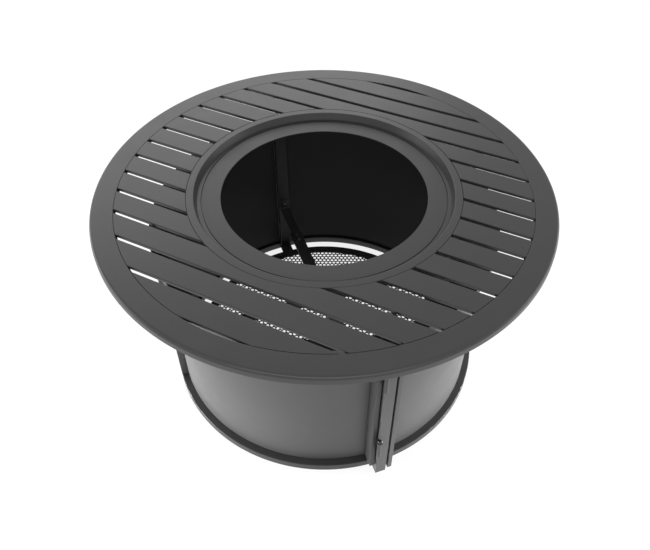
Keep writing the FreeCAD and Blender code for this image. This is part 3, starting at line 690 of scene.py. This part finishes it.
@dataclass
class TableTop:
    """The slatted round top: rim, slats, well ring, burner plate and what carries them.

    Its sizes are in millimetres.
    """

    rows_beside_middle: int = 7
    rows_in_two: int = 4
    around: int = 384
    top: float = 727.3
    slat_bottom: float = 716.5
    slat_ledge: float = 713.5
    ledge_width: float = 5.0
    rim_outer: float = 685.8
    rim_inner: float = 618.8
    rim_bottom: float = 701.9
    rim_wall: float = 4.0
    rim_round: float = 10.0
    seam_round: float = 1.5
    well_radius: float = 412.3
    well_lip: float = 389.8
    well_foot: float = 382.0
    well_ledge: float = 705.1
    seat_edge: float = 371.5
    seat_top: float = 702.1
    seat_width: float = 20.0
    well_wall: float = 3.0
    plate_gap: float = 2.0
    plate_hole: float = 311.9
    plate_round: float = 1.0

    def slat_names(self) -> list[str]:
        """Names the slats by row and end.

        Returns:
            The names of all slats, from the rear row to the front one.
        """
        names = []
        for row in range(self.rows_beside_middle, -self.rows_beside_middle - 1, -1):
            side = "rear" if row > 0 else "front"
            name = "slat_middle" if row == 0 else f"slat_{side}_{abs(row)}"
            ends = ("_left", "_right") if abs(row) <= self.rows_in_two else ("",)
            names += [name + end for end in ends]
        return names

    def build(self) -> None:
        """Builds the rim, the well ring and the burner plate and dresses the slats and arms."""
        self._rim()
        self._well_ring()
        self._burner_plate()
        for name in self.slat_names() + [f"support_arm_{post}" for post in POSTS]:
            dress_node(name, Finish.POWDER_COAT)
        dress_node("support_bolts", Finish.BLACKENED_STEEL)

    def _rim(self) -> None:
        """Rolled channel with a soft outer edge and a ledge for the slats."""
        outer, inner, wall = self.rim_outer, self.rim_inner, self.rim_wall
        under = self.top - wall
        rim = spun("rim_channel", [
            (inner, self.slat_bottom), (inner, self.top), (outer, self.top),
            (outer, self.rim_bottom), (outer - wall, self.rim_bottom), (outer - wall, under),
            (inner + wall, under), (inner + wall, self.slat_ledge),
            (inner - self.ledge_width, self.slat_ledge),
            (inner - self.ledge_width, self.slat_bottom),
        ], {self.seam_round: (1,), self.rim_round: (2,), self.rim_round - wall: (5,)}, self.around)
        hand_over(rim, "table", Finish.POWDER_COAT, "top_rim")

    def _well_ring(self) -> None:
        """Flat band, leaning wall and the seat of the burner plate."""
        wall = self.well_wall
        seat_inner, seat_bottom = self.seat_edge - self.seat_width, self.seat_top - wall
        ring = spun("well_channel", [
            (self.well_radius + self.ledge_width, self.slat_ledge),
            (self.well_radius + self.ledge_width, self.slat_bottom),
            (self.well_radius, self.slat_bottom), (self.well_radius, self.top),
            (self.well_lip, self.top), (self.well_foot, self.well_ledge),
            (self.seat_edge, self.well_ledge), (self.seat_edge, self.seat_top),
            (seat_inner, self.seat_top), (seat_inner, seat_bottom),
            (self.well_foot + wall, seat_bottom), (self.well_lip + wall, self.top - wall),
            (self.well_radius - wall, self.top - wall), (self.well_radius - wall, self.slat_ledge),
        ], {self.seam_round: (3, 4)}, self.around)
        hand_over(ring, "table", Finish.POWDER_COAT, "well_ring")

    def _burner_plate(self) -> None:
        """Flat ring-shaped plate with a softened edge round its hole."""
        edge = self.seat_edge - self.plate_gap
        plate = spun("burner_plate_sheet", [
            (self.plate_hole, self.seat_top), (edge, self.seat_top),
            (edge, self.well_ledge), (self.plate_hole, self.well_ledge),
        ], {self.plate_round: (2, 3)}, self.around)
        # The plate's coat is painted darker, as painted shade of the well
        hand_over(plate, "table", Finish.PAINTED_SHADE_BURNER_COAT, "burner_plate")


@dataclass
class Drum:
    """The drum base: rings, posts, fixed panels and the leg that carries the door.

    Its sizes are in millimetres.
    """

    quarters: tuple[str, ...] = ("right", "rear", "left")
    outer: float = 536.5
    post_inner: float = 492.0
    post_bottom: float = 25.4
    post_top: float = 603.8
    post_half_width: float = 22.0
    post_edge: float = 1.5
    ring_inner: float = 503.0
    ring_height: float = 25.4
    ring_round: float = 2.0
    around: int = 384

    def build(self) -> None:
        """Builds the drum's rings and posts and dresses its panels and leg."""
        for level, low in (("lower", 0.0), ("upper", self.post_top)):
            high = low + self.ring_height
            ring = spun(f"drum_ring_{level}", [
                (self.ring_inner, low), (self.outer, low),
                (self.outer, high), (self.ring_inner, high),
            ], {self.ring_round: (2,)}, self.around)
            # The rings get the drum's coat painted darker, as painted shade
            hand_over(ring, "table", Finish.PAINTED_SHADE_RING_COAT, f"base_ring_{level}")
        panels = [f"panel_{quarter}" for quarter in self.quarters]
        for name in ["hinge_leg_plate", "hinge_leg_bar"] + panels:
            dress_node(name, Finish.DRUM_COAT)
        for number, name in enumerate(POSTS):
            post = extruded(f"post_tube_{name}", [
                (self.post_inner, self.post_bottom), (self.outer, self.post_bottom),
                (self.outer, self.post_top), (self.post_inner, self.post_top),
            ], {}, self.post_half_width, self.post_edge)
            to_post(post, number)
            hand_over(post, "table", Finish.POST_COAT, f"post_{name}")


@dataclass
class Door:
    """The curved quarter door with its frame, stile and two barrel hinges.

    The hinge axis is in metres and the other sizes are in millimetres.
    """

    levels: tuple[str, ...] = ("lower", "upper")
    axis: tuple[float, float] = (0.163335, -0.556489)
    knuckle_feet: tuple[float, float] = (130.5, 476.4)
    cap_above_foot: float = 76.6
    pin_radius: float = 4.0
    washer_radius: float = 9.0
    washer_height: float = 1.5
    washer_round: float = 0.4
    cap_radius: float = 8.0
    cap_height: float = 8.0
    cap_round: float = 6.4
    around: int = 64

    def build(self) -> None:
        """Builds the hinge pins and dresses the door and its hinges."""
        for level, foot in zip(self.levels, self.knuckle_feet):
            self._pin(level, foot)
        for name in ("door_panel", "door_frame"):
            dress_node(name, Finish.DRUM_COAT)
        # The stile gets the drum's coat painted darker, as painted shade
        dress_node("door_stile", Finish.PAINTED_SHADE_RING_COAT)
        for level in self.levels:
            dress_node(f"hinge_leaf_{level}", Finish.POWDER_COAT)
            dress_node(f"hinge_knuckle_{level}", Finish.POWDER_COAT)
        dress_node("hinge_screws", Finish.BLACKENED_STEEL)

    def _pin(self, level: str, foot: float) -> None:
        """Turned pin with a washer whose edges are softened and a domed cap.

        Args:
            level: The hinge that it belongs to.
            foot: Height of the lower knuckle's foot, in millimetres.
        """
        under = foot + self.cap_above_foot
        washer_top = under + self.washer_height
        cap_top = washer_top + self.cap_height
        pin = spun(f"hinge_pin_{level}", [
            (0.0, foot), (self.pin_radius, foot), (self.pin_radius, under),
            (self.washer_radius, under), (self.washer_radius, washer_top),
            (self.cap_radius, washer_top), (self.cap_radius, cap_top), (0.0, cap_top),
        ], {self.washer_round: (3, 4), self.cap_round: (6,)}, self.around, self.axis)
        hand_over(pin, "table", Finish.HINGE_PAINT, "hinge_pins")


@dataclass(frozen=True)
class HexBolt:
    """Hexagon bolt with its nut and two washers. Its sizes are in millimetres."""

    head_corner: float = 5.5
    head_height: float = 4.0
    washer_radius: float = 5.4
    washer_height: float = 0.8
    shank_radius: float = 3.0
    chamfer: float = 0.6
    head_sides: int = 6
    round_sides: int = 24

    def build(
            self, name: str, place: Vector, lean: float, post: int, held: float,
    ) -> bpy.types.Object:
        """Builds the bolt, its head up, and turns it to its place.

        Args:
            name: The bolt's name.
            place: The point under its washer in the post's frame, in millimetres.
            lean: Turn about the post frame's Y axis in degrees, 0 with the head up.
            post: Number of the post whose frame it stands in.
            held: Thickness that it clamps, in millimetres.

        Returns:
            The bolt.
        """
        parts = []
        for start, turned_over in ((0.0, 1.0), (-held, -1.0)):
            head = start_piece(
                name, bpy.ops.mesh.primitive_cylinder_add, vertices=self.head_sides,
                radius=millimetres(self.head_corner),
                depth=millimetres(self.head_height - self.washer_height),
                location=(0.0, 0.0, millimetres(
                    start + turned_over * (self.head_height + self.washer_height) / 2.0)))
            apply_modifier(
                head, "BEVEL", width=millimetres(self.chamfer), segments=EDGE_STEPS,
                limit_method="ANGLE")
            washer = start_piece(
                name, bpy.ops.mesh.primitive_cylinder_add, vertices=self.round_sides,
                radius=millimetres(self.washer_radius), depth=millimetres(self.washer_height),
                location=(0.0, 0.0, millimetres(start + turned_over * self.washer_height / 2.0)))
            parts += [head, washer]
        shank = start_piece(
            name, bpy.ops.mesh.primitive_cylinder_add, vertices=self.round_sides,
            radius=millimetres(self.shank_radius), depth=millimetres(held + self.head_height),
            location=(0.0, 0.0, millimetres(-(held + self.head_height) / 2.0)))
        only(shank)
        for part in parts:
            part.select_set(True)
        bpy.ops.object.join()
        shank.name = name
        shank.data.name = name
        place_in_mesh()
        shank.rotation_euler = (0.0, math.radians(lean), 0.0)
        shank.location = place / MM_PER_METRE
        place_in_mesh()
        bpy.ops.object.shade_smooth_by_angle(angle=math.radians(SMOOTH_BELOW))
        to_post(shank, post)
        return shank


@dataclass
class Brace:
    """The long bar and the cross strap inside the drum, with brackets and bolts.

    Its sizes are in millimetres. What it has at a post is drawn in the frame of that post.
    """

    bottom: float = 216.0
    depth: float = 12.0
    bar_half_width: float = 21.0
    bar_half_length: float = 347.0
    bar_edge: float = 1.5
    strap_thickness: float = 3.0
    bracket_half_width: float = 16.5
    cross_half_width: float = 21.0
    strap_rise: float = 36.0
    strap_bolt_rise: float = 22.0
    strap_edge: float = 0.6
    bend: float = 2.4
    bracket_end: float = 270.0
    lap: float = 77.0
    lap_bolt_spacing: float = 25.3
    post_inner: float = 492.0
    post_wall: float = 4.0

    def build(self) -> None:
        """Builds the bar, its brackets, the cross strap and their bolts."""
        top = self.bottom + self.depth
        bar = extruded("brace_flat_bar", [
            (-self.bar_half_length, self.bottom), (self.bar_half_length, self.bottom),
            (self.bar_half_length, top), (-self.bar_half_length, top),
        ], {}, self.bar_half_width, self.bar_edge)
        to_post(bar)
        hand_over(bar, "table", Finish.BLACK_PAINT, "brace_bar")
        for name, post in (("front", 0), ("rear", 2)):
            bracket = extruded(
                f"brace_angle_{name}", self._bent(self.bracket_end, top), {self.bend: (1, 4)},
                self.bracket_half_width, self.strap_edge)
            to_post(bracket, post)
            hand_over(bracket, "table", Finish.BLACK_PAINT, f"brace_bracket_{name}")
        strap = self._cross_strap(self.bottom - self.strap_thickness)
        to_post(strap, 1)
        hand_over(strap, "table", Finish.BLACK_PAINT, "brace_cross_strap")
        self._bolts(top)

    def _bent(self, start: float, low: float) -> Outline:
        """Outlines a strap that runs out to a post and turns up against it.

        Args:
            start: How far from the table's axis it starts.
            low: Height of its underside.

        Returns:
            The outline's corners, from its lower inner one.
        """
        thick, end = self.strap_thickness, self.post_inner
        high = low + thick + self.strap_rise
        return [
            (start, low), (end, low), (end, high), (end - thick, high), (end - thick, low + thick),
            (start, low + thick),
        ]

    def _cross_strap(self, low: float) -> bpy.types.Object:
        """Builds the strap below the bar, with both ends turned up.

        Args:
            low: Height of its underside.

        Returns:
            The strap, in the frame of a post.
        """
        right = self._bent(0.0, low)[1:-1]
        left = [(-across, up) for across, up in reversed(right)]
        return extruded(
            "brace_strap", right + left, {self.bend: (0, 3, 4, 7)},
            self.cross_half_width, self.strap_edge)

    def _bolts(self, top: float) -> None:
        """Builds the crossing's bolt, two in each lap and one in each upturned end.

        Args:
            top: Height of the bar's top face.
        """
        thick = self.strap_thickness
        upright, against_post = 0.0, -QUARTER_TURN
        places = [(Vector((0.0, 0.0, top)), upright, 0, self.depth + thick)]
        first = self.bracket_end + (self.lap - self.lap_bolt_spacing) / 2.0
        for post in range(len(POSTS)):
            has_bracket = post % 2 == 0
            low = top if has_bracket else self.bottom - thick
            height = low + thick + self.strap_bolt_rise
            end = Vector((self.post_inner - thick, 0.0, height))
            places.append((end, against_post, post, thick + self.post_wall))
            if has_bracket:
                for out in (first, first + self.lap_bolt_spacing):
                    lap = Vector((out, 0.0, top + thick))
                    places.append((lap, upright, post, self.depth + thick))
        for number, (place, lean, post, held) in enumerate(places, start=1):
            bolt = HexBolt().build(f"brace_bolt_{number}", place, lean, post, held)
            hand_over(bolt, "table", Finish.BLACKENED_STEEL, "brace_bolts")


@dataclass(frozen=True)
class Lamp:
    """A soft box: its place and the point it faces in metres, its size, its power in watts and how
    far its beam opens in degrees.
    """

    name: str
    place: tuple[float, float, float]
    target: tuple[float, float, float]
    width: float
    height: float
    power: float
    spread: float = 180.0

    def make(self) -> None:
        """Hangs the lamp in the scene."""
        light = bpy.data.lights.new(self.name, "AREA")
        light.shape = "RECTANGLE"
        light.size = self.width
        light.size_y = self.height
        light.energy = self.power
        light.spread = math.radians(self.spread)
        lamp = bpy.data.objects.new(self.name, light)
        bpy.context.scene.collection.objects.link(lamp)
        lamp.location = self.place
        aim = Vector(self.target) - Vector(self.place)
        lamp.rotation_euler = aim.to_track_quat("-Z", "Y").to_euler()


@dataclass
class Studio:
    """White floor and surroundings, soft boxes and the camera at the photograph's angle.

    Its sizes are in metres, the lens in millimetres and the camera's pitch in degrees.
    """

    white: str = "#ffffff"
    paper_white: str = "#f4f4f4"
    floor_radius: float = 14.0
    floor_sides: int = 96
    floor_shine_through: float = 0.8
    floor_glow: float = 1.05
    ambient: float = 0.8
    camera_place: tuple[float, float, float] = (0.0, -1.5320, 1.9804)
    camera_pitch: float = 46.05
    lens: float = 36.40
    shift: tuple[float, float] = (0.0011, -0.0558)
    lamps: tuple[Lamp, ...] = (
        Lamp("soft_box_rear", (-1.2, 3.3, 2.7), (0.0, 0.0, 0.7), 4.6, 2.2, 44.0),
        Lamp("soft_box_left", (-3.2, 0.3, 0.8), (0.0, 0.0, 0.4), 2.4, 1.2, 25.0),
        Lamp("soft_box_right", (3.2, 0.3, 0.8), (0.0, 0.0, 0.4), 2.4, 1.2, 20.0),
        Lamp("low_strip_left", (-2.8, 0.1, 0.2), (0.0, 0.1, 0.1), 2.0, 0.2, 11.5, 26.0),
        Lamp("low_strip_right", (2.8, 0.1, 0.2), (0.0, 0.1, 0.1), 2.0, 0.2, 10.0, 26.0),
        Lamp("strip_front", (-0.1, -3.3, 2.8), (0.0, -0.6, 0.7), 5.0, 0.5, 40.0),
    )

    def build(self) -> None:
        """Sets up floor, surroundings, lamps and camera."""
        self._floor()
        self._world()
        for lamp in self.lamps:
            lamp.make()
        self._camera()
        bpy.context.scene.view_settings.view_transform = "Standard"

    def _seen(self, tree: bpy.types.NodeTree) -> bpy.types.NodeSocket:
        """Tells the rays that show a surface from those that only light something with it.

        Args:
            tree: The nodes of the floor or the surroundings.

        Returns:
            Output that is 1 for rays from the camera, from a reflection or through glass.
        """
        path = add_node(tree, "ShaderNodeLightPath").outputs
        some = add_node(tree, "ShaderNodeMath", {
            0: path["Is Camera Ray"], 1: path["Is Glossy Ray"]}, operation="MAXIMUM")
        any_of = add_node(tree, "ShaderNodeMath", {
            0: some.outputs[0], 1: path["Is Transmission Ray"]}, operation="MAXIMUM")
        return any_of.outputs[0]

    def _floor(self) -> None:
        """Round white floor: it keeps a soft shadow and shows as white elsewhere."""
        floor = start_piece(
            "studio_floor", bpy.ops.mesh.primitive_circle_add,
            vertices=self.floor_sides, radius=self.floor_radius, fill_type="NGON")
        material = bpy.data.materials.new("matt_white_floor")
        tree = empty_tree(material)
        paper = add_node(tree, "ShaderNodeBsdfDiffuse", {"Color": linear(self.paper_white)})
        glow = add_node(tree, "ShaderNodeEmission", {
            "Color": linear(self.white), "Strength": self.floor_glow})
        share = add_node(tree, "ShaderNodeMath", {
            0: self._seen(tree), 1: self.floor_shine_through}, operation="MULTIPLY")
        mixed = add_node(tree, "ShaderNodeMixShader", {
            0: share.outputs[0], 1: paper.outputs[0], 2: glow.outputs[0]})
        add_node(tree, "ShaderNodeOutputMaterial", {"Surface": mixed.outputs[0]})
        floor.data.materials.append(material)

    def _world(self) -> None:
        """White surroundings that light the table a little less than they show."""
        world = bpy.data.worlds.new("white_surroundings")
        bpy.context.scene.world = world
        tree = empty_tree(world)
        strength = add_node(tree, "ShaderNodeMapRange", {
            MAP_VALUE: self._seen(tree), FROM_LOW: 0.0, FROM_HIGH: 1.0,
            TO_LOW: self.ambient, TO_HIGH: 1.0})
        sky = add_node(tree, "ShaderNodeBackground", {
            "Color": linear(self.white), "Strength": strength.outputs[0]})
        add_node(tree, "ShaderNodeOutputWorld", {"Surface": sky.outputs[0]})

    def _camera(self) -> None:
        """Camera at the photograph's place and angle."""
        camera = bpy.data.objects.new("camera", bpy.data.cameras.new("camera"))
        bpy.context.scene.collection.objects.link(camera)
        camera.location = self.camera_place
        camera.rotation_euler = (math.radians(self.camera_pitch), 0.0, 0.0)
        camera.data.lens = self.lens
        camera.data.shift_x, camera.data.shift_y = self.shift
        bpy.context.scene.camera = camera


def main() -> None:
    """Builds the table's sub-assemblies in order, then the studio round it."""
    logging.basicConfig(level=logging.INFO, format="%(message)s")
    for assembly in (TableTop(), Drum(), Door(), Brace(), Tray(), Studio()):
        LOG.info("building %s", type(assembly).__name__)
        assembly.build()


if __name__ == "__main__":
    main()
